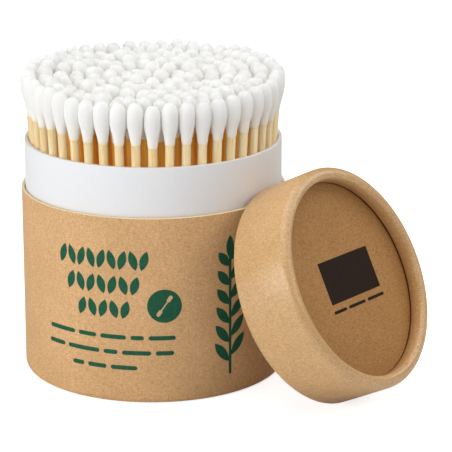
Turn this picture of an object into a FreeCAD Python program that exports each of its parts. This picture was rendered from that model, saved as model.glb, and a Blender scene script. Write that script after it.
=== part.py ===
import FreeCAD
import Part
import Sketcher
import math
import os
import random

# A kraft paper tub of cotton swabs with its lid taken off and leaning on the tub's right front.
# Millimetres. The origin is on the floor, on the tub's axis, and +Z is up.

doc = FreeCAD.newDocument("cotton_swab_tub")

# Driving sizes: alias, value, what it is
SIZES = [
    ("tub_radius", 35.0, "outside of the kraft sleeve"),
    ("sleeve_height", 49.7, "floor to the sleeve's cut top edge"),
    ("sleeve_wall", 0.8, "kraft board thickness of the sleeve"),
    ("foot_width", 2.6, "width of the edge that is rolled in at the bottom"),
    ("foot_round", 1.5, "outer rounding of that edge"),
    ("foot_depth", 3.2, "floor to the underside of the base disc"),
    ("base_thickness", 1.4, "base disc"),
    ("board_fit", 0.1, "radial play between glued paper pieces"),
    ("liner_play", 0.2, "gap seen between the sleeve and the white liner"),
    ("liner_wall", 1.0, "white board thickness of the liner"),
    ("neck_height", 12.9, "liner that stands up past the sleeve"),
    ("lid_radius", 29.4, "outside of the lid"),
    ("lid_height", 16.8, "open edge to the top of the lid's rolled edge"),
    ("lid_wall", 1.0, "kraft board thickness of the lid"),
    ("lid_band", 3.4, "width of the rolled top edge"),
    ("lid_round", 2.1, "outer rounding of the rolled edge"),
    ("lid_inner_round", 1.2, "inner rounding of the rolled edge"),
    ("lid_recess", 4.3, "how deep the lid's disc lies under that edge"),
    ("lid_disc_thickness", 1.2, "lid disc"),
    ("lid_tilt", 26.5, "degrees that the lid's axis points up from level"),
    ("lid_turn", -34.1, "degrees about Z that the lid's top faces"),
    ("lid_bearing", -30.1, "degrees about Z from the tub's axis to the lid"),
    ("lid_seat", 0.1, "play where the lid leans on the neck"),
    ("swab_length", 75.4, "length of the swab in the middle"),
    ("swab_spread", 0.45, "most that an outer swab's length is off at random"),
    ("inner_spread", 1.0, "the same for the swabs further in"),
    ("ring_step", 0.5, "how much higher every other inner ring stands than those between"),
    ("back_rise", 1.5, "how much longer the swabs at the back stand than those in the middle"),
    ("side_rise", 1.2, "the same for the swabs at both sides"),
    ("stem_radius", 1.175, "bamboo stem"),
    ("tip_radius", 2.12, "widest part of a cotton tip that nothing squeezes"),
    ("tip_length", 11.0, "cotton tip along the stem"),
    ("tip_neck", 0.12, "thickness of the cotton where it ends on the stem"),
    ("tip_belly", 4.0, "end of a tip to its widest part"),
    ("tip_shoulder", 1.3, "end of a tip to where it starts to round off"),
    ("tip_taper", 0.36, "how much the tip's radius shrinks from its belly to that shoulder"),
    ("tip_crown", 1.0, "radius of the flat that closes a tip's round end"),
    ("tip_pitch", 4.3, "distance between neighbours along a ring, at the tips"),
    ("tip_play", 0.05, "play between tips that squeeze each other"),
    ("ring_count", 8, "rings of swabs from the neck to the core"),
    ("core_count", 4, "swabs in the innermost ring"),
    ("bundle_turn", 1.56, "degrees about Z from the very front to the first swab"),
    ("foot_play", 3.1, "room between the lower tips and the liner, which lets the swabs lean out"),
    ("stem_play", 0.15, "play between the outer stems and the neck's inner edge"),
]
FRONT = -90.0
TOUCHING = 1e-6

sheet = doc.addObject("Spreadsheet::Sheet", "Sizes")
for row, (alias, value, note) in enumerate(SIZES, start=1):
    sheet.set(f"A{row}", alias)
    sheet.set(f"B{row}", str(value))
    sheet.set(f"C{row}", note)
    sheet.setAlias(f"B{row}", alias)
doc.recompute()


def size(alias):
    return float(getattr(sheet, alias))


# Expressions that several pieces share
BASE_TOP = "(Sizes.foot_depth + Sizes.base_thickness)"
SLEEVE_INSIDE = "(Sizes.tub_radius - Sizes.sleeve_wall)"
LINER_OUTSIDE = f"({SLEEVE_INSIDE} - Sizes.liner_play)"
LINER_INSIDE = f"({LINER_OUTSIDE} - Sizes.liner_wall)"
NECK_TOP = "(Sizes.sleeve_height + Sizes.neck_height)"
LID_INSIDE = "(Sizes.lid_radius - Sizes.lid_wall)"
LID_DISC_TOP = "(Sizes.lid_height - Sizes.lid_recess)"


def number(expression):
    value = sheet.evalExpression(expression)
    return float(getattr(value, "Value", value))


def revolved(label, corners):
    """A body turned about its Z axis from an outline in its XZ plane.

    Each corner is (x, z) or (x, z, radius), as expressions. A radius rounds the
    outline from that corner to the next with an arc that bulges out of the solid.
    """
    body = doc.addObject("PartDesign::Body", label)
    body.Label = label
    sketch = body.newObject("Sketcher::SketchObject", label + "_outline")
    plane = [f for f in body.Origin.OriginFeatures if f.Role == "XZ_Plane"][0]
    sketch.AttachmentSupport = (plane, [""])
    sketch.MapMode = "FlatFace"
    points = [FreeCAD.Vector(number(c[0]), number(c[1]), 0) for c in corners]
    ends = []
    for i, corner in enumerate(corners):
        start, end = points[i], points[(i + 1) % len(points)]
        if len(corner) == 3:
            radius = number(corner[2])
            middle = (start + end) * 0.5
            chord = end - start
            across = FreeCAD.Vector(chord.y, -chord.x, 0).normalize()
            sink = math.sqrt(max(radius**2 - (chord.Length / 2) ** 2, 0.0))
            centre = middle - across * sink
            sketch.addGeometry(Part.Arc(start, centre + across * radius, end), False)
            starts_here = sketch.Geometry[i].StartPoint.distanceToPoint(start) < TOUCHING
            ends.append((1, 2) if starts_here else (2, 1))
        else:
            sketch.addGeometry(Part.LineSegment(start, end), False)
            ends.append((1, 2))
    for i in range(len(corners)):
        after = (i + 1) % len(corners)
        sketch.addConstraint(Sketcher.Constraint("Coincident", i, ends[i][1], after, ends[after][0]))
    for i, corner in enumerate(corners):
        for kind, expression in (("DistanceX", corner[0]), ("DistanceY", corner[1])):
            axis = -2 if kind == "DistanceX" else -1
            if expression == "0":
                sketch.addConstraint(Sketcher.Constraint("PointOnObject", i, ends[i][0], axis))
                continue
            k = sketch.addConstraint(Sketcher.Constraint(kind, -1, 1, i, ends[i][0], number(expression)))
            sketch.setExpression(f"Constraints[{k}]", expression)
        if len(corner) == 3:
            k = sketch.addConstraint(Sketcher.Constraint("Radius", i, number(corner[2])))
            sketch.setExpression(f"Constraints[{k}]", corner[2])
    turned = body.newObject("PartDesign::Revolution", label + "_turned")
    turned.Profile = sketch
    turned.ReferenceAxis = (sketch, ["V_Axis"])
    turned.Angle = 360
    sketch.Visibility = False
    body.Tip = turned
    return body


# Kraft sleeve: a tube whose bottom edge is rolled in under the base disc
foot_inside = "(Sizes.tub_radius - Sizes.foot_width)"
sleeve = revolved(
    "tub_sleeve",
    [
        (foot_inside, "0"),
        ("Sizes.tub_radius - Sizes.foot_round", "0", "Sizes.foot_round"),
        ("Sizes.tub_radius", "Sizes.foot_round"),
        ("Sizes.tub_radius", "Sizes.sleeve_height"),
        (SLEEVE_INSIDE, "Sizes.sleeve_height"),
        (SLEEVE_INSIDE, "Sizes.foot_depth"),
        (foot_inside, "Sizes.foot_depth"),
    ],
)

# Base disc: pressed in from above on to the rolled edge
base = doc.addObject("Part::Cylinder", "base_disc")
base.Label = "base_disc"
base.setExpression("Radius", f"{SLEEVE_INSIDE} - Sizes.board_fit")
base.setExpression("Height", "Sizes.base_thickness")
base.setExpression("Placement.Base.z", "Sizes.foot_depth")

# White liner: stands on the base disc and rises past the sleeve as the neck
liner = revolved(
    "tub_liner",
    [
        (LINER_INSIDE, BASE_TOP),
        (LINER_OUTSIDE, BASE_TOP),
        (LINER_OUTSIDE, NECK_TOP),
        (LINER_INSIDE, NECK_TOP),
    ],
)

# Lid, drawn with its open edge at z = 0 and its top up, then leaned on the neck
LID_LOW = "(Sizes.lid_radius * cos(Sizes.lid_tilt * 1deg))"
LID_LEAN = "(Sizes.lid_radius * sin(Sizes.lid_tilt * 1deg))"
LIP_ABOVE = f"(Sizes.sleeve_height - {LID_LOW})"
# Half the width of the lid's open edge at the height of the sleeve's top
LIP_CHORD = f"(sqrt(max(0; Sizes.lid_radius^2 - ({LIP_ABOVE} / cos(Sizes.lid_tilt * 1deg))^2)))"
CLEAR_OF_NECK = f"({LINER_OUTSIDE} + {LID_LEAN})"
CLEAR_OF_LIP = (
    f"(sqrt(max(0; Sizes.tub_radius^2 - {LIP_CHORD}^2)) "
    f"+ min({LIP_ABOVE} * tan(Sizes.lid_tilt * 1deg); {LID_LEAN}))"
)
LID_REACH = f"(max({CLEAR_OF_NECK}; {CLEAR_OF_LIP}) + Sizes.lid_seat)"


def lean(piece, along):
    """Places a lid piece: along is how far up the lid's own axis it starts."""
    low = f"({LID_LOW} + {along} * sin(Sizes.lid_tilt * 1deg))"
    out = f"({along} * cos(Sizes.lid_tilt * 1deg))"
    x = f"({LID_REACH} * cos(Sizes.lid_bearing * 1deg) + {out} * cos(Sizes.lid_turn * 1deg))"
    y = f"({LID_REACH} * sin(Sizes.lid_bearing * 1deg) + {out} * sin(Sizes.lid_turn * 1deg))"
    place = f"create(<<vector>>; {x}; {y}; {low})"
    turn = "create(<<rotation>>; Sizes.lid_turn; 90 - Sizes.lid_tilt; 0)"
    piece.setExpression("Placement", f"create(<<placement>>; {place}; {turn})")


lid_band_inside = "(Sizes.lid_radius - Sizes.lid_band)"
lid = revolved(
    "lid_shell",
    [
        (LID_INSIDE, "0"),
        ("Sizes.lid_radius", "0"),
        ("Sizes.lid_radius", "Sizes.lid_height - Sizes.lid_round", "Sizes.lid_round"),
        ("Sizes.lid_radius - Sizes.lid_round", "Sizes.lid_height"),
        (f"{lid_band_inside} + Sizes.lid_inner_round", "Sizes.lid_height", "Sizes.lid_inner_round"),
        (lid_band_inside, "Sizes.lid_height - Sizes.lid_inner_round"),
        (lid_band_inside, LID_DISC_TOP),
        (LID_INSIDE, LID_DISC_TOP),
    ],
)
lean(lid, "0")

lid_disc = doc.addObject("Part::Cylinder", "lid_disc")
lid_disc.Label = "lid_disc"
lid_disc.setExpression("Radius", f"{LID_INSIDE} - Sizes.board_fit")
lid_disc.setExpression("Height", "Sizes.lid_disc_thickness")
lean(lid_disc, f"({LID_DISC_TOP} - Sizes.lid_disc_thickness)")


# Swabs: concentric rings, each swab on its own line that leans out a little.
# The outer ring shows most, so its stems and tips have more sides than those further in.
OUTER_SIDES = 6
INNER_SIDES = 4
INNER_TIP_SIDES = 5
scatter = random.Random(1)


def faceted(outline, sides):
    """A closed solid with flat facets through regular polygons, each (radius, height), from the bottom up."""
    angles = [2 * math.pi * i / sides for i in range(sides)]
    rows = [[FreeCAD.Vector(r * math.cos(a), r * math.sin(a), z) for a in angles] for r, z in outline]
    loops = [rows[0][::-1], rows[-1]]
    for low, high in zip(rows, rows[1:]):
        for i in range(sides):
            after = (i + 1) % sides
            loops.append([low[i], low[after], high[after], high[i]])
    faces = [Part.Face(Part.makePolygon(loop + loop[:1])) for loop in loops]
    return Part.Solid(Part.Shell(faces))


def swab_solids(length, belly, outer):
    """The lower tip, the stem and the upper tip of one swab that stands on z = 0."""
    tip = size("tip_length")
    stem = size("stem_radius")
    neck = stem + size("tip_neck")
    shoulder = belly - size("tip_taper")
    lower = faceted([(shoulder, 0.0), (neck, tip)], INNER_SIDES)
    rod = faceted([(stem, tip), (stem, length - tip)], OUTER_SIDES if outer else INNER_SIDES)
    outline = [(neck, length - tip), (belly, length - size("tip_belly"))]
    if outer:
        outline.append((shoulder, length - size("tip_shoulder")))
    outline.append((size("tip_crown"), length))
    upper = faceted(outline, OUTER_SIDES if outer else INNER_TIP_SIDES)
    return lower, rod, upper


def swab_ring(index, radius_top, radius_foot, count, belly):
    """Three groups of separate solids: the ring's lower tips, stems and upper tips."""
    groups = ([], [], [])
    outer = index == 1
    spread = size("swab_spread") if outer else size("inner_spread")
    raised = 0.0 if outer else size("ring_step") * (0.5 - index % 2)
    first = math.radians(FRONT + size("bundle_turn"))
    slope = (radius_top - radius_foot) / size("swab_length")
    # A leaning swab stands on the edge of its lower tip, which reaches below the middle of its foot
    seat = number(BASE_TOP) + (belly - size("tip_taper")) * slope
    for i in range(count):
        # Every other ring is turned by half a step, so its swabs stand in the gaps of the one outside
        angle = first + 2 * math.pi * (i + 0.5 * ((index + 1) % 2)) / count
        back = radius_top * math.sin(angle) / size("tub_radius")
        side = radius_top * math.cos(angle) / size("tub_radius")
        length = size("swab_length") + size("back_rise") * back + size("side_rise") * side**2
        length += raised + spread * scatter.uniform(-1, 1)
        foot = FreeCAD.Vector(radius_foot * math.cos(angle), radius_foot * math.sin(angle), seat)
        turn = FreeCAD.Rotation(math.degrees(angle), math.degrees(math.asin(slope)), 0)
        for group, solid in zip(groups, swab_solids(length, belly, outer)):
            solid.Placement = FreeCAD.Placement(foot, turn)
            group.append(solid)
    for kind, group in zip(("lower_tips", "stems", "upper_tips"), groups):
        piece = doc.addObject("Part::Feature", f"swab_{kind}_ring_{index}")
        piece.Label = f"swab_{kind}_ring_{index}"
        piece.Shape = Part.makeCompound(group)
        piece.Placement = FreeCAD.Placement()


# The outer ring stands at the liner's foot and leans out until its stems all but touch the neck
foot_reach = number(LINER_INSIDE) - size("foot_play") - (size("tip_radius") - size("tip_taper"))
neck_reach = number(LINER_INSIDE) - size("stem_play") - size("stem_radius")
neck_share = (number(NECK_TOP) - number(BASE_TOP)) / size("swab_length")
top_reach = foot_reach + (neck_reach - foot_reach) / neck_share

# The rings divide the room between the outer ring and the core evenly
core_reach = size("tip_pitch") / 2 / math.sin(math.pi / size("core_count"))
ring_count = int(size("ring_count"))
ring_pitch = (top_reach - core_reach) / (ring_count - 1)
ring_room = ring_pitch / 2 - size("tip_play")

outer_count = int(2 * math.pi * top_reach / size("tip_pitch"))
swab_ring(1, top_reach, foot_reach, outer_count, size("tip_radius"))
for ring in range(2, ring_count + 1):
    reach = top_reach - (ring - 1) * ring_pitch
    # The second ring has one swab in each gap of the first, and the last is the core
    neighbours = int(2 * math.pi * reach / size("tip_pitch"))
    if ring == 2:
        neighbours = outer_count
    if ring == ring_count:
        neighbours = int(size("core_count"))
    # Cotton is soft: a tip is as wide as it would be alone, or as its neighbours leave it room
    step_room = reach * math.sin(math.pi / neighbours) - size("tip_play")
    tip_room = min(size("tip_radius"), ring_room, step_room)
    swab_ring(ring, reach, reach * foot_reach / top_reach, neighbours, tip_room)

doc.recompute()

# Every object is checked before anything is written
pieces = [o for o in doc.Objects if o.TypeId in ("PartDesign::Body", "Part::Cylinder")]
pieces += [o for o in doc.Objects if o.TypeId == "Part::Feature"]
for item in doc.Objects:
    if "Invalid" in item.State or "Error" in item.State:
        raise RuntimeError(f"{item.Name} failed: {item.State}")
for piece in pieces:
    if piece.Shape.isNull() or not piece.Shape.isValid():
        raise RuntimeError(f"{piece.Label} has no valid shape")

os.makedirs("parts", exist_ok=True)
for piece in pieces:
    piece.Shape.exportStep(f"parts/{piece.Label}.step")
    print(piece.Label, len(piece.Shape.Solids), round(piece.Shape.Volume, 1))
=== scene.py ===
import math
import random

import bmesh
import bpy
from mathutils import Matrix, Vector

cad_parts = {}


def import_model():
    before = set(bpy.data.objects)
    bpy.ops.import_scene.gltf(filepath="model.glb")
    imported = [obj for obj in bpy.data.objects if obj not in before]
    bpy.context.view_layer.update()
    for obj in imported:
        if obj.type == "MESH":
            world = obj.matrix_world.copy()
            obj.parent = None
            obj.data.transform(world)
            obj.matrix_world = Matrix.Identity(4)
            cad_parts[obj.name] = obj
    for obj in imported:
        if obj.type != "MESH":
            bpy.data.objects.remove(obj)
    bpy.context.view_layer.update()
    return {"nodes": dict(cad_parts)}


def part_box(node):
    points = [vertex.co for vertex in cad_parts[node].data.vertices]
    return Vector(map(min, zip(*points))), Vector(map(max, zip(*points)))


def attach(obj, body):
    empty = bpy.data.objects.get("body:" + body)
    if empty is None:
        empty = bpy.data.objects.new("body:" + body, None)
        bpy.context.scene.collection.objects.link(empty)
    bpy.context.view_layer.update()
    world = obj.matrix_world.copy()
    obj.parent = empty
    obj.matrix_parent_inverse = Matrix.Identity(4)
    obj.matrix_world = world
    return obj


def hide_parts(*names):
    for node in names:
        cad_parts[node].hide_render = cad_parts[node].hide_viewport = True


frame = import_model()

MM = 0.001

# Sizes that the frame gives
TUB_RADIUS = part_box("tub_sleeve")[1][0]
SLEEVE_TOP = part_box("tub_sleeve")[1][2]
LINER_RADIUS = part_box("tub_liner")[1][0]
LINER_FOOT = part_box("tub_liner")[0][2]
LINER_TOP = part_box("tub_liner")[1][2]
BASE_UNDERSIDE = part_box("base_disc")[0][2]

# Sizes that repeat the model's own
SLEEVE_WALL = 0.8 * MM
FOOT_WIDTH = 2.6 * MM
FOOT_ROUND = 1.5 * MM
LINER_WALL = 1.0 * MM
LID_RADIUS = 29.4 * MM
LID_HEIGHT = 16.8 * MM
LID_WALL = 1.0 * MM
LID_BAND = 3.4 * MM
LID_ROUND = 2.1 * MM
LID_INNER_ROUND = 1.2 * MM
LID_RECESS = 4.3 * MM
LID_TILT = math.radians(26.5)
LID_TURN = math.radians(-34.1)
LID_BEARING = math.radians(-30.1)
LID_SEAT = 0.1 * MM
STEM_RADIUS = 1.175 * MM

# The photograph's camera, solved from the rims' ellipses
CAMERA_PLACE = Vector((19.2, -580.1, 210.9)) * MM
CAMERA_PITCH = math.radians(16.655)
CAMERA_LENS_MM = 180.3
CAMERA_SENSOR_MM = 36.0
CAMERA_NEAREST = 10 * MM


def srgb(red, green, blue):
    """A colour written as 0 to 255 values, as Blender's linear RGBA."""
    linear = []
    for value in (red, green, blue):
        c = value / 255
        linear.append(c / 12.92 if c <= 0.04045 else ((c + 0.055) / 1.055) ** 2.4)
    return (*linear, 1.0)


# Materials
class Shader:
    """A small helper that adds nodes to one material and joins them."""

    def __init__(self, name):
        self.material = bpy.data.materials.new(name)
        self.material.use_nodes = True
        self.tree = self.material.node_tree
        self.surface = self.tree.nodes["Principled BSDF"]

    def add(self, kind, **inputs):
        node = self.tree.nodes.new(kind)
        for key, value in inputs.items():
            socket = node.inputs[key.replace("_", " ")]
            if isinstance(value, bpy.types.NodeSocket):
                self.tree.links.new(value, socket)
            else:
                socket.default_value = value
        return node

    def place(self, scale=(1, 1, 1)):
        """Object coordinates in millimetres, stretched by scale."""
        source = self.add("ShaderNodeTexCoord").outputs["Object"]
        mapping = self.add("ShaderNodeMapping", Vector=source)
        mapping.inputs["Scale"].default_value = [s / MM for s in scale]
        return mapping.outputs["Vector"]

    def noise(self, vector, scale, detail=3.0, roughness=0.6):
        """Noise from 0 to 1, with about as many blots to a millimetre as scale says."""
        inputs = {"Vector": vector, "Scale": scale, "Detail": detail, "Roughness": roughness}
        return self.add("ShaderNodeTexNoise", **inputs).outputs["Fac"]

    def ramp(self, factor, stops):
        """A colour ramp through (place, colour) stops."""
        node = self.add("ShaderNodeValToRGB", Fac=factor)
        elements = node.color_ramp.elements
        while len(elements) < len(stops):
            elements.new(0.5)
        for element, (place, colour) in zip(elements, stops):
            element.position = place
            element.color = colour
        return node.outputs["Color"]

    def mix(self, factor, one, two, blend="MIX"):
        node = self.tree.nodes.new("ShaderNodeMix")
        node.data_type = "RGBA"
        node.blend_type = blend
        for socket, value in ((node.inputs[0], factor), (node.inputs[6], one), (node.inputs[7], two)):
            if isinstance(value, bpy.types.NodeSocket):
                self.tree.links.new(value, socket)
            else:
                socket.default_value = value
        return node.outputs[2]

    def math(self, operation, one, two):
        node = self.tree.nodes.new("ShaderNodeMath")
        node.operation = operation
        for socket, value in zip(node.inputs, (one, two)):
            if isinstance(value, bpy.types.NodeSocket):
                self.tree.links.new(value, socket)
            else:
                socket.default_value = value
        return node.outputs[0]

    def colour(self, value):
        self.tree.links.new(value, self.surface.inputs["Base Color"])

    def finish(self, roughness, gloss):
        """How matt the surface is, and how strongly it mirrors the lamps."""
        self.surface.inputs["Roughness"].default_value = roughness
        self.surface.inputs["Specular IOR Level"].default_value = gloss

    def soak(self, radius, scale):
        """How far light soaks in: a length, and each colour's share of it."""
        self.surface.inputs["Subsurface Radius"].default_value = radius
        self.surface.inputs["Subsurface Scale"].default_value = scale

    def bump(self, height, strength, distance):
        node = self.add("ShaderNodeBump", Height=height, Strength=strength, Distance=distance)
        self.tree.links.new(node.outputs["Normal"], self.surface.inputs["Normal"])


WHITE = (1.0, 1.0, 1.0, 1.0)
BLACK = (0.0, 0.0, 0.0, 1.0)
# The cut edge's colour: partly the board's own paler fibres, partly a painted highlight on the rounded
# edge
CUT_EDGE_AND_HIGHLIGHT = srgb(247, 222, 180)
CUT_EDGE_DEPTH = 0.15 * MM


def between(one, two, share):
    """The colour that lies a share of the way from one to two."""
    return tuple(a + (b - a) * share for a, b in zip(one, two))


def kraft_flecks(shader):
    """Fine dark and pale paper fibres that lie both ways, from 0 to 1."""
    across = shader.noise(shader.place((1.0, 1.0, 3.4)), 0.9, 4.0, 0.7)
    upright = shader.noise(shader.place((3.2, 3.2, 1.0)), 0.9, 4.0, 0.7)
    return shader.math("MULTIPLY", shader.math("ADD", across, upright), 0.5)


def kraft_material(name, light, dark, gloss, roughness, cut_height=None):
    """Brown kraft board, which is paler on a cut edge that lies above cut_height: partly the edge's own
    paler fibres and partly a painted highlight where the rounded edge catches the light.

    Over the tone of its fibres lie wide faint clouds, sparse dark specks and a fine grain.
    """
    shader = Shader(name)
    flecks = kraft_flecks(shader)
    board = shader.ramp(flecks, [(0.36, dark), (0.50, between(light, dark, 0.35)), (0.62, light)])
    clouds = shader.noise(shader.place(), 0.06, 3.0)
    specks = shader.noise(shader.place(), 2.6, 2.0, 0.5)
    grain = shader.noise(shader.place((0.75, 0.75, 1.5)), 2.4, 3.0, 0.75)
    for layer, stops in (
        (clouds, [(0.3, (0.90, 0.885, 0.87, 1)), (0.7, WHITE)]),
        (specks, [(0.27, (0.80, 0.72, 0.64, 1)), (0.35, WHITE)]),
        (grain, [(0.36, (0.84, 0.83, 0.82, 1)), (0.64, (1.16, 1.16, 1.16, 1))]),
    ):
        board = shader.mix(1.0, board, shader.ramp(layer, stops), "MULTIPLY")
    # Paler cut edge: partly its own fibres, partly a painted highlight
    if cut_height is not None:
        place = shader.add("ShaderNodeTexCoord").outputs["Object"]
        height = shader.add("ShaderNodeSeparateXYZ", Vector=place).outputs["Z"]
        board = shader.mix(shader.math("GREATER_THAN", height, cut_height), board, CUT_EDGE_AND_HIGHLIGHT)
    shader.colour(board)
    shader.finish(roughness, gloss)
    shader.bump(flecks, 0.25, 0.05 * MM)
    return shader.material


def white_board_material():
    """Smooth white board with a barely seen grain."""
    shader = Shader("white_board")
    grain = shader.noise(shader.place(), 2.2, 4.0)
    shader.colour(shader.ramp(grain, [(0.3, srgb(239, 240, 242)), (0.7, srgb(243, 244, 246))]))
    shader.finish(roughness=0.6, gloss=0.3)
    shader.bump(grain, 0.2, 0.03 * MM)
    return shader.material


def bamboo_material(name, grain, glow):
    """Pale bamboo with upright streaks through the three colours of grain, from dark to light.

    A little glow, though the stick is no lamp, is painted light: it stands for the light that bounces
    between and soaks through thin sticks standing close together.
    """
    shader = Shader(name)
    streaks = shader.noise(shader.place((2.6, 2.6, 0.07)), 1.0, 4.0, 0.65)
    wood = shader.ramp(streaks, list(zip((0.30, 0.46, 0.66), grain)))
    stick = shader.noise(shader.place((0.22, 0.22, 0.004)), 1.0, 1.0)
    tone = shader.ramp(stick, [(0.35, (0.95, 0.92, 0.87, 1)), (0.65, WHITE)])
    toned = shader.mix(1.0, wood, tone, "MULTIPLY")
    shader.colour(toned)
    # Painted glow: the wood's own colour shines, though the stick is no lamp
    shader.tree.links.new(toned, shader.surface.inputs["Emission Color"])
    shader.surface.inputs["Emission Strength"].default_value = glow
    shader.finish(roughness=0.42, gloss=0.5)
    shader.surface.inputs["Subsurface Weight"].default_value = 0.35
    shader.soak((1.0, 0.7, 0.4), 1.0 * MM)
    shader.bump(streaks, 0.2, 0.04 * MM)
    return shader.material


def cotton_material():
    """Soft white cotton, through which the wood shows where the cotton runs out.

    The meshes keep how far along its tip each point lies, as their attribute share.
    """
    shader = Shader("cotton_wool")
    wound = shader.noise(shader.place((1.0, 1.0, 2.2)), 0.9, 5.0, 0.7)
    wool = shader.ramp(wound, [(0.3, srgb(252, 250, 241)), (0.62, srgb(254, 252, 244))])
    share = shader.add("ShaderNodeAttribute")
    share.attribute_name = "share"
    ragged = shader.math("ADD", share.outputs["Fac"], shader.math("MULTIPLY", wound, 0.10))
    cover = shader.ramp(ragged, [(0.04, srgb(255, 232, 190)), (0.075, srgb(255, 246, 228)), (0.13, WHITE)])
    shader.colour(shader.mix(1.0, wool, cover, "MULTIPLY"))
    shader.finish(roughness=0.95, gloss=0.1)
    # Light soaks through the wool, but not through the stem that the wool is wound on
    soaked = shader.ramp(share.outputs["Fac"], [(0.05, BLACK), (0.40, WHITE)])
    shader.tree.links.new(soaked, shader.surface.inputs["Subsurface Weight"])
    shader.soak((1.0, 0.97, 0.93), 4.0 * MM)
    shader.surface.inputs["Sheen Weight"].default_value = 0.5
    shader.surface.inputs["Sheen Roughness"].default_value = 0.8
    shader.bump(wound, 0.2, 0.06 * MM)
    return shader.material


def ink_and_painted_shade_material(name, ink, worn):
    """Matt ink that has sunk into the kraft, so the fibres show faintly in it; the same sunk-in look also
    serves the painted shade in the lid's seam.
    """
    shader = Shader(name)
    flecks = kraft_flecks(shader)
    shader.colour(shader.ramp(flecks, [(0.40, ink), (0.66, worn)]))
    shader.finish(roughness=0.7, gloss=0.12)
    shader.bump(flecks, 0.3, 0.04 * MM)
    return shader.material


KRAFT = kraft_material(
    "kraft_board",
    light=srgb(233, 190, 140),
    dark=srgb(206, 160, 108),
    gloss=0.2,
    roughness=0.6,
    cut_height=SLEEVE_TOP - CUT_EDGE_DEPTH,
)
LID_KRAFT = kraft_material(
    "kraft_board_lid", light=srgb(227, 185, 131), dark=srgb(198, 155, 101), gloss=0.7, roughness=0.33
)
# The lid's disc: the same board painted darker, as painted shade, since the disc faces away from the key
# lamp
SHADED_DISC_KRAFT = kraft_material(
    "kraft_board_disc_painted_shade", light=srgb(196, 147, 90), dark=srgb(157, 111, 61), gloss=0.2, roughness=0.6
)
WHITE_BOARD = white_board_material()
# The same bamboo in two copies with a painted glow: the inner rings, which stand in shade, are painted
# deeper orange and glow more, as painted bounce light between the sticks
OUTER_BAMBOO_PAINTED_GLOW = bamboo_material(
    "bamboo_outer_painted_glow", (srgb(255, 204, 130), srgb(255, 226, 170), srgb(255, 245, 216)), glow=0.02
)
INNER_BAMBOO_PAINTED_GLOW = bamboo_material(
    "bamboo_inner_painted_glow", (srgb(255, 160, 48), srgb(255, 182, 68), srgb(255, 200, 92)), glow=0.075
)
COTTON = cotton_material()
GREEN_INK = ink_and_painted_shade_material("green_ink", srgb(22, 84, 62), srgb(52, 104, 76))
BROWN_INK = ink_and_painted_shade_material("brown_ink", srgb(38, 26, 19), srgb(50, 36, 27))
KRAFT_LINE = ink_and_painted_shade_material("kraft_line", srgb(214, 174, 128), srgb(222, 184, 140))
# Painted shadow: dark brown for the shaded seam round the lid's disc
SEAM_PAINTED_SHADE = ink_and_painted_shade_material("seam_painted_shade", srgb(88, 44, 18), srgb(108, 60, 28))


# Meshes
def add_piece(name, mesh, material, slot, replaced=()):
    """Puts a mesh in the scene as a piece that rides on the tub."""
    piece = bpy.data.objects.new(name, mesh)
    bpy.context.scene.collection.objects.link(piece)
    mesh.materials.append(material)
    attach(piece, "root")
    if replaced:
        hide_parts(*replaced)
    return piece


def arc(centre_r, centre_z, radius, start, end, steps=6):
    """Points of an arc in an outline, from one angle to another in degrees."""
    points = []
    for i in range(steps + 1):
        angle = math.radians(start + (end - start) * i / steps)
        points.append((centre_r + radius * math.cos(angle), centre_z + radius * math.sin(angle)))
    return points


def turned(name, outline, segments, place=Matrix()):
    """A closed mesh turned about Z from an outline of (radius, height) that goes round anticlockwise."""
    vertices = []
    for r, z in outline:
        for i in range(segments):
            angle = 2 * math.pi * i / segments
            vertices.append(place @ Vector((r * math.cos(angle), r * math.sin(angle), z)))
    faces = []
    for row in range(len(outline)):
        here = row * segments
        after = (row + 1) % len(outline) * segments
        for i in range(segments):
            j = (i + 1) % segments
            faces.append((here + i, here + j, after + j, after + i))
    mesh = bpy.data.meshes.new(name)
    mesh.from_pydata(vertices, [], faces)
    mesh.shade_smooth()
    return mesh


# How the board's cut edges are rounded, and the seam at the foot of the lid's rolled edge
EDGE = 0.22 * MM
SEAM = 0.5 * MM
SEAM_DEPTH = 2.2 * MM
SEGMENTS = 192


def sleeve_outline():
    """The outer tube with its foot, which is rolled in under the base."""
    inner = TUB_RADIUS - SLEEVE_WALL
    foot = TUB_RADIUS - FOOT_WIDTH
    points = arc(TUB_RADIUS - FOOT_ROUND, FOOT_ROUND, FOOT_ROUND, -90, 0, 10)
    points += arc(TUB_RADIUS - EDGE, SLEEVE_TOP - EDGE, EDGE, 0, 90, 4)
    points += arc(inner + EDGE, SLEEVE_TOP - EDGE, EDGE, 90, 180, 4)
    points += [(inner, BASE_UNDERSIDE), (foot, BASE_UNDERSIDE)]
    points += arc(foot + EDGE, EDGE, EDGE, 180, 270, 4)
    return points


def liner_outline():
    """The inner tube, whose upper part is the neck."""
    inner = LINER_RADIUS - LINER_WALL
    top = LINER_TOP - EDGE
    points = [(inner, LINER_FOOT), (LINER_RADIUS, LINER_FOOT)]
    points += arc(LINER_RADIUS - EDGE, top, EDGE, 0, 90, 4)
    points += arc(inner + EDGE, top, EDGE, 90, 180, 4)
    return points


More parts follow.
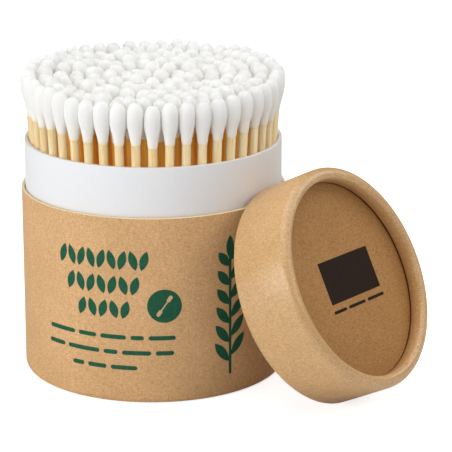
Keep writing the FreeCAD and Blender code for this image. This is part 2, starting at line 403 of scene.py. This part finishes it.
def lid_outline():
    """The lid's tube, from its open edge to its rolled edge and down to the disc."""
    inner = LID_RADIUS - LID_WALL
    band = LID_RADIUS - LID_BAND
    disc_top = LID_HEIGHT - LID_RECESS
    points = arc(LID_RADIUS - EDGE, EDGE, EDGE, -90, 0, 4)
    points += arc(LID_RADIUS - LID_ROUND, LID_HEIGHT - LID_ROUND, LID_ROUND, 0, 90, 12)
    points += arc(band + LID_INNER_ROUND, LID_HEIGHT - LID_INNER_ROUND, LID_INNER_ROUND, 90, 180, 8)
    # The rolled edge curls away from the disc at its foot and leaves a thin dark seam there
    points += [(band, disc_top + SEAM), (band + SEAM_DEPTH, disc_top), (inner, disc_top)]
    points += arc(inner + EDGE, EDGE, EDGE, 180, 270, 4)
    return points


# The lid's own frame: its open edge at the origin and its top up, leaned on the neck
LID_REACH = LINER_RADIUS + LID_RADIUS * math.sin(LID_TILT) + LID_SEAT
LID_FOOT = Vector(
    (
        LID_REACH * math.cos(LID_BEARING),
        LID_REACH * math.sin(LID_BEARING),
        LID_RADIUS * math.cos(LID_TILT),
    )
)
LID_PLACE = (
    Matrix.Translation(LID_FOOT)
    @ Matrix.Rotation(LID_TURN, 4, "Z")
    @ Matrix.Rotation(math.pi / 2 - LID_TILT, 4, "Y")
)

for name, outline, place, material, slot, node in (
    ("sleeve_board", sleeve_outline(), Matrix(), KRAFT, "kraft_board", "tub_sleeve"),
    ("neck_board", liner_outline(), Matrix(), WHITE_BOARD, "white_board", "tub_liner"),
    ("lid_board", lid_outline(), LID_PLACE, LID_KRAFT, "kraft_board", "lid_shell"),
):
    add_piece(name, turned(name, outline, SEGMENTS, place), material, slot, [node])
# The lid's disc takes the board painted darker, as painted shade
for node, material in (("base_disc", KRAFT), ("lid_disc", SHADED_DISC_KRAFT)):
    mesh = frame["nodes"][node].data
    mesh.materials.clear()
    mesh.materials.append(material)


# Swabs: each is drawn on the axis of the solid that it stands for
STEM_SIDES = 14
UPPER_TIP_SIDES = 18
LOWER_TIP_SIDES = 10
STEM_SUNK = 2 * MM
END_SLICE = 0.4 * MM
SAME_POINT = 0.001 * MM


def axes_of(node):
    """The two end points of each separate solid in a node, lower end first, and its greatest radius."""
    obj = frame["nodes"][node]
    bm = bmesh.new()
    bm.from_mesh(obj.data)
    bm.transform(obj.matrix_world)
    bmesh.ops.remove_doubles(bm, verts=bm.verts, dist=SAME_POINT)
    seen = set()
    axes = []
    for first in bm.verts:
        if first in seen:
            continue
        seen.add(first)
        solid = [first]
        for vertex in solid:
            for edge in vertex.link_edges:
                other = edge.other_vert(vertex)
                if other not in seen:
                    seen.add(other)
                    solid.append(other)
        places = [v.co.copy() for v in solid]
        low = min(p.z for p in places) + END_SLICE
        high = max(p.z for p in places) - END_SLICE
        foot = [p for p in places if p.z < low]
        head = [p for p in places if p.z > high]
        start = sum(foot, Vector()) / len(foot)
        end = sum(head, Vector()) / len(head)
        along = (end - start).normalized()
        axes.append((start, end, max((p - start).cross(along).length for p in places)))
    bm.free()
    return axes


# A tip's radius along its length, from just inside the stem, where the cotton starts, to its round end
TIP_PROFILE = [
    (-0.10, 0.400),
    (-0.04, 0.470),
    (0.015, 0.548),
    (0.070, 0.588),
    (0.140, 0.625),
    (0.220, 0.690),
    (0.310, 0.785),
    (0.400, 0.880),
    (0.490, 0.955),
    (0.590, 1.000),
    (0.700, 0.985),
    (0.800, 0.910),
    (0.880, 0.785),
    (0.940, 0.620),
    (0.980, 0.400),
]
# Cotton is soft, so the tips that show swell until they press on each other
OUTER_SWELL = 1.06
INNER_SWELL = 1.16
# Tips differ a little in width, and have a few long low lumps
WIDTH_RANGE = (0.98, 1.02)
LUMP_COUNT = 3
LUMP_PHASES = (0, 6.3)
LUMP_BEATS = (2, 4)
LUMP_SIZES = (0.006, 0.020)


def tip_rows(start, end, widest, chance, sides, swollen):
    """Rings of points of one cotton tip, a little lumpy, as wound cotton is."""
    axis = end - start
    length = axis.length
    out = axis.to_track_quat("Z", "Y").to_matrix()
    fat = widest * swollen * chance.uniform(*WIDTH_RANGE)
    lumps = []
    for _ in range(LUMP_COUNT):
        lumps.append([chance.uniform(*limits) for limits in (LUMP_PHASES, LUMP_BEATS, LUMP_SIZES)])
    rows = []
    for share, width in TIP_PROFILE:
        row = []
        for i in range(sides):
            angle = 2 * math.pi * i / sides
            swell = 1.0
            for k, (phase, beat, size) in enumerate(lumps, start=1):
                swell += size * math.sin(k * angle + phase + beat * math.pi * share)
            radius = fat * width * swell
            across = (radius * math.cos(angle), radius * math.sin(angle))
            row.append(start + out @ Vector((*across, length * share)))
        rows.append(row)
    return rows, start, end


def skinned(name, strips):
    """One mesh of closed tubes, each given as rings of points and its two end points.

    Each point also keeps how far it lies along its tube's axis, from 0 at the start to 1 at the end.
    """
    vertices = []
    faces = []
    shares = []
    for rows, start, end in strips:
        sides = len(rows[0])
        first = len(vertices)
        axis = end - start
        for row in rows:
            vertices.extend(row)
            middle = sum(row, Vector()) / sides
            shares.extend([(middle - start).dot(axis) / axis.length_squared] * sides)
        vertices.extend((start, end))
        shares.extend((0.0, 1.0))
        foot = len(vertices) - 2
        top = len(vertices) - 1
        last = first + (len(rows) - 1) * sides
        for i in range(sides):
            j = (i + 1) % sides
            faces.append((foot, first + j, first + i))
            faces.append((top, last + i, last + j))
            for k in range(len(rows) - 1):
                a = first + k * sides
                b = a + sides
                faces.append((a + i, a + j, b + j, b + i))
    mesh = bpy.data.meshes.new(name)
    mesh.from_pydata(vertices, [], faces)
    mesh.shade_smooth()
    mesh.attributes.new("share", "FLOAT", "POINT").data.foreach_set("value", shares)
    return mesh


def stem_rows(start, end, sides, sunk):
    """Rings of one stem, which runs on into the cotton at both ends."""
    along = (end - start).normalized()
    out = along.to_track_quat("Z", "Y").to_matrix()
    low = start - along * sunk
    high = end + along * sunk
    rows = []
    for point in (low, start.lerp(end, 0.5), high):
        row = []
        for i in range(sides):
            angle = 2 * math.pi * i / sides
            across = Vector((math.cos(angle), math.sin(angle), 0)) * STEM_RADIUS
            row.append(point + out @ across)
        rows.append(row)
    return rows, low, high


def swab_rings():
    """Draws every ring of swabs: their stems, the tips that show and the tips inside the tub."""
    ring = 1
    while f"swab_stems_ring_{ring}" in frame["nodes"]:
        chance = random.Random(ring)
        outer = ring == 1
        swollen = OUTER_SWELL if outer else INNER_SWELL
        # Inner rings take the bamboo painted deeper orange and glowing more, as painted bounce light
        wood = OUTER_BAMBOO_PAINTED_GLOW if outer else INNER_BAMBOO_PAINTED_GLOW
        stems = []
        for start, end, _ in axes_of(f"swab_stems_ring_{ring}"):
            stems.append(stem_rows(start, end, STEM_SIDES, STEM_SUNK))
        upper = []
        for start, end, radius in axes_of(f"swab_upper_tips_ring_{ring}"):
            upper.append(tip_rows(start, end, radius, chance, UPPER_TIP_SIDES, swollen))
        lower = []
        for end, start, radius in axes_of(f"swab_lower_tips_ring_{ring}"):
            lower.append(tip_rows(start, end, radius, chance, LOWER_TIP_SIDES, 1.0))
        for kind, strips, material, slot in (
            ("stems", stems, wood, "bamboo"),
            ("upper_tips", upper, COTTON, "cotton"),
            ("lower_tips", lower, COTTON, "cotton"),
        ):
            name = f"round_{kind}_{ring}"
            add_piece(name, skinned(name, strips), material, slot, [f"swab_{kind}_ring_{ring}"])
        ring += 1


swab_rings()


# Print: flat shapes laid on the sleeve and the lid as thin closed skins, drawn in millimetres
INK = 0.03 * MM
STRIP = 1.2
LEAF_TILT = 16
LEAF_FILL = 0.78
DASH_GAP = 1.15
NOTE_THICK = 1.15


def leaf(x, y, length, width, angle, steps=7):
    """A pointed oval that grows from (x, y) at an angle in degrees."""
    turn = math.radians(angle)
    points = []
    for side in (1, -1):
        for i in range(steps):
            share = i / steps if side == 1 else 1 - i / steps
            along = length * share
            across = side * width / 2 * math.sin(math.pi * share) ** 0.8
            points.append(
                (
                    x + along * math.cos(turn) - across * math.sin(turn),
                    y + along * math.sin(turn) + across * math.cos(turn),
                )
            )
    return points


def capsule(x0, y0, x1, y1, width, steps=5):
    """A straight bar with round ends."""
    turn = math.atan2(y1 - y0, x1 - x0)
    points = []
    for x, y, start in ((x1, y1, -90), (x0, y0, 90)):
        for i in range(steps + 1):
            angle = turn + math.radians(start + 180 * i / steps)
            points.append((x + width / 2 * math.cos(angle), y + width / 2 * math.sin(angle)))
    return points


def disc(x, y, radius, steps=48):
    """A round spot."""
    points = []
    for i in range(steps):
        angle = 2 * math.pi * i / steps
        points.append((x + radius * math.cos(angle), y + radius * math.sin(angle)))
    return points


def round_sleeve(point):
    """From (arc length from the front, height, lift) in millimetres to the sleeve's outside."""
    angle = point.x * MM / TUB_RADIUS
    radius = TUB_RADIUS + point.z * MM
    return Vector((radius * math.sin(angle), -radius * math.cos(angle), point.y * MM))


def on_lid(point):
    """From (to the right, up, lift) in millimetres, seen from outside, to the lid's disc."""
    return LID_PLACE @ Vector((-point.y * MM, point.x * MM, LID_HEIGHT - LID_RECESS + point.z * MM))


def printed(name, outlines, material, place, lift=0.0):
    """A piece of flat outlines, cut into narrow strips so that they bend, thickened and put in place."""
    bm = bmesh.new()
    for outline in outlines:
        bm.faces.new([bm.verts.new((x, y, lift)) for x, y in outline])
    low = min(v.co.x for v in bm.verts)
    high = max(v.co.x for v in bm.verts)
    for i in range(1, int((high - low) / STRIP) + 1):
        everything = bm.verts[:] + bm.edges[:] + bm.faces[:]
        bmesh.ops.bisect_plane(bm, geom=everything, plane_co=(low + i * STRIP, 0, 0), plane_no=(1, 0, 0))
    raised = bmesh.ops.extrude_face_region(bm, geom=bm.faces[:], use_keep_orig=True)
    for item in raised["geom"]:
        if isinstance(item, bmesh.types.BMVert):
            item.co.z += INK / MM
    for vertex in bm.verts:
        vertex.co = place(vertex.co)
    bmesh.ops.recalc_face_normals(bm, faces=bm.faces)
    mesh = bpy.data.meshes.new(name)
    bm.to_mesh(mesh)
    bm.free()
    return add_piece(name, mesh, material, "kraft_board")


def leaf_row(centre, foot, width, count, height):
    """A row of leaves that lean left and right in turn, as wide as a line of print."""
    pitch = width / count
    shapes = []
    for i in range(count):
        x = centre - width / 2 + pitch * (i + 0.5)
        tilt = LEAF_TILT if i % 2 else -LEAF_TILT
        shift = height * math.sin(math.radians(tilt)) / 2
        shapes.append(leaf(x + shift, foot, height, pitch * LEAF_FILL, 90 + tilt))
    return shapes


def dash_row(centre, middle, width, lengths, thick):
    """A row of bars of the given relative lengths, with even gaps between them."""
    share = (width - DASH_GAP * (len(lengths) - 1)) / sum(lengths)
    x = centre - width / 2
    shapes = []
    for length in lengths:
        end = x + length * share
        shapes.append(capsule(x + thick / 2, middle, end - thick / 2, middle, thick))
        x = end + DASH_GAP
    return shapes


TITLE_CENTRE = -12.9
title = leaf_row(TITLE_CENTRE, 35.9, 25.6, 9, 5.4)
title += leaf_row(TITLE_CENTRE, 29.3, 20.8, 7, 5.2)
title += leaf_row(TITLE_CENTRE + 0.4, 22.9, 14.9, 5, 5.0)
printed("title_leaves", title, GREEN_INK, round_sleeve)

notes = dash_row(-11.6, 17.9, 36.0, (5, 3, 4, 2, 4), NOTE_THICK)
notes += dash_row(-12.0, 13.8, 36.0, (3, 5, 2, 4, 2.5), NOTE_THICK)
notes += dash_row(-12.6, 9.7, 18.2, (2, 3, 4), NOTE_THICK)
printed("note_dashes", notes, GREEN_INK, round_sleeve)

BADGE = (3.6, 26.5)
BADGE_RADIUS = 4.45
printed("badge_disc", [disc(*BADGE, BADGE_RADIUS)], GREEN_INK, round_sleeve)


def small_swab(x, y, length, angle):
    """A little swab: a thin bar with a fat end at each side."""
    turn = math.radians(angle)
    dx = math.cos(turn) * length / 2
    dy = math.sin(turn) * length / 2
    bar = capsule(x - dx * 0.6, y - dy * 0.6, x + dx * 0.6, y + dy * 0.6, 0.35)
    heads = [capsule(x + s * dx * 0.66, y + s * dy * 0.66, x + s * dx, y + s * dy, 1.0) for s in (-1, 1)]
    return [bar] + heads


printed("badge_swab", small_swab(*BADGE, 5.6, 55), KRAFT_LINE, round_sleeve, INK / MM)


def sprig(x, foot, top):
    """A slender stalk with leaves in pairs that grow smaller towards its tip."""
    shapes = [capsule(x, foot, x, top - 6, 0.8)]
    pairs = 6
    for i in range(pairs):
        share = i / (pairs - 1)
        y = foot + 3.2 + (top - foot - 11.5) * share
        length = 7.0 - 1.8 * share
        shapes.append(leaf(x - 0.3, y, length, 2.5, 128))
        shapes.append(leaf(x + 0.3, y + 1.6, length, 2.5, 52))
    shapes.append(leaf(x, top - 6.4, 6.4, 2.4, 90))
    return shapes


printed("front_sprig", sprig(21.6, 6.3, 43.6), GREEN_INK, round_sleeve)

# The lid's plain dark panel with a row of bars under it
PANEL_CENTRE = (1.7, 0.9)
PANEL_SIZE = (23.0, 11.1)
PANEL_TURN = math.radians(-2.3)


def panel_point(x, y):
    """A point of the panel's own frame, turned and moved on to the lid."""
    return (
        PANEL_CENTRE[0] + x * math.cos(PANEL_TURN) - y * math.sin(PANEL_TURN),
        PANEL_CENTRE[1] + x * math.sin(PANEL_TURN) + y * math.cos(PANEL_TURN),
    )


panel = []
for side, rise in ((-0.5, -0.5), (0.5, -0.5), (0.5, 0.5), (-0.5, 0.5)):
    panel.append(panel_point(side * PANEL_SIZE[0], rise * PANEL_SIZE[1]))
printed("lid_panel", [panel], BROWN_INK, on_lid)
lid_bars = [[panel_point(x, y) for x, y in bar] for bar in dash_row(0, -7.6, 23.6, (3, 4, 4), 0.8)]
printed("lid_dashes", lid_bars, BROWN_INK, on_lid)


# A painted shadow: a dark flat ring laid on the floor of the seam round the lid's disc, where the seam
# lies in shade
def seam_outline():
    """A thin flat ring of painted shade on the seam's floor, which ends just short of the seam's far end.
    """
    bottom = LID_HEIGHT - LID_RECESS
    inner = LID_RADIUS - LID_BAND
    outer = inner + 0.9 * SEAM_DEPTH
    return [(inner, bottom), (outer, bottom), (outer, bottom + INK), (inner, bottom + INK)]


add_piece("lid_seam_painted_shade", turned("lid_seam_painted_shade", seam_outline(), SEGMENTS, LID_PLACE), SEAM_PAINTED_SHADE, "kraft_board")


# Floor, light and camera
FLOOR_REACH = 3.0
FLOOR_GREY = 0.86
FLOOR_GLOW = 0.75
SKY_LIGHT = 0.02
LAMP_TARGET = Vector((0, 0, 0.05))
# Each lamp's name, its place and its width in metres, and its power in watts
LAMPS = (
    ("key", (-0.9, -0.45, 0.25), 0.5, 3.5),
    ("front_left", (-0.45, -0.85, 0.35), 0.5, 2.4),
    ("top", (0.0, 0.0, 1.0), 1.4, 8.8),
    ("right", (0.8, -0.3, 0.5), 0.5, 1.4),
    ("right_back", (0.75, 0.35, 0.55), 0.5, 1.8),
)


def floor():
    """A pale floor that shows white where no shadow falls on it."""
    mesh = bpy.data.meshes.new("floor")
    corners = [(FLOOR_REACH * x, FLOOR_REACH * y, 0) for x, y in ((-1, -1), (1, -1), (1, 1), (-1, 1))]
    mesh.from_pydata(corners, [], [(0, 1, 2, 3)])
    obj = bpy.data.objects.new("floor", mesh)
    bpy.context.scene.collection.objects.link(obj)
    shader = Shader("pale_floor")
    shader.surface.inputs["Base Color"].default_value = (FLOOR_GREY, FLOOR_GREY, FLOOR_GREY, 1)
    shader.finish(roughness=0.9, gloss=0.0)
    light_path = shader.add("ShaderNodeLightPath")
    glow = shader.add("ShaderNodeEmission", Color=WHITE, Strength=FLOOR_GLOW)
    nothing = shader.add("ShaderNodeEmission", Color=BLACK, Strength=0.0)
    lifted = shader.add("ShaderNodeMixShader", Fac=light_path.outputs["Is Camera Ray"])
    shader.tree.links.new(nothing.outputs[0], lifted.inputs[1])
    shader.tree.links.new(glow.outputs[0], lifted.inputs[2])
    both = shader.add("ShaderNodeAddShader")
    shader.tree.links.new(shader.surface.outputs[0], both.inputs[0])
    shader.tree.links.new(lifted.outputs[0], both.inputs[1])
    output = shader.tree.nodes["Material Output"]
    shader.tree.links.new(both.outputs[0], output.inputs["Surface"])
    mesh.materials.append(shader.material)


def round_lamp(name, place, size, power):
    """A white round lamp that shines at the tub."""
    data = bpy.data.lights.new(name, "AREA")
    data.shape = "DISK"
    data.size = size
    data.energy = power
    lamp = bpy.data.objects.new(name, data)
    bpy.context.scene.collection.objects.link(lamp)
    lamp.location = place
    lamp.rotation_euler = (LAMP_TARGET - Vector(place)).to_track_quat("-Z", "Y").to_euler()


def world(ambient):
    """White to the camera and to rays that pass through, and a plain grey light on everything else."""
    sky = bpy.data.worlds.new("studio")
    bpy.context.scene.world = sky
    sky.use_nodes = True
    tree = sky.node_tree
    background = tree.nodes["Background"]
    background.inputs["Color"].default_value = WHITE
    paths = tree.nodes.new("ShaderNodeLightPath")
    seen = tree.nodes.new("ShaderNodeMath")
    seen.operation = "MAXIMUM"
    tree.links.new(paths.outputs["Is Camera Ray"], seen.inputs[0])
    tree.links.new(paths.outputs["Is Transmission Ray"], seen.inputs[1])
    strength = tree.nodes.new("ShaderNodeMapRange")
    strength.inputs["To Min"].default_value = ambient
    strength.inputs["To Max"].default_value = 1.0
    tree.links.new(seen.outputs[0], strength.inputs["Value"])
    tree.links.new(strength.outputs["Result"], background.inputs["Strength"])


floor()
world(SKY_LIGHT)
for lamp in LAMPS:
    round_lamp(*lamp)

camera_data = bpy.data.cameras.new("camera")
camera_data.lens = CAMERA_LENS_MM
camera_data.sensor_width = CAMERA_SENSOR_MM
camera_data.clip_start = CAMERA_NEAREST
camera = bpy.data.objects.new("camera", camera_data)
bpy.context.scene.collection.objects.link(camera)
camera.location = CAMERA_PLACE
camera.rotation_euler = (math.pi / 2 - CAMERA_PITCH, 0, 0)
bpy.context.scene.camera = camera
bpy.context.scene.view_settings.view_transform = "Standard"
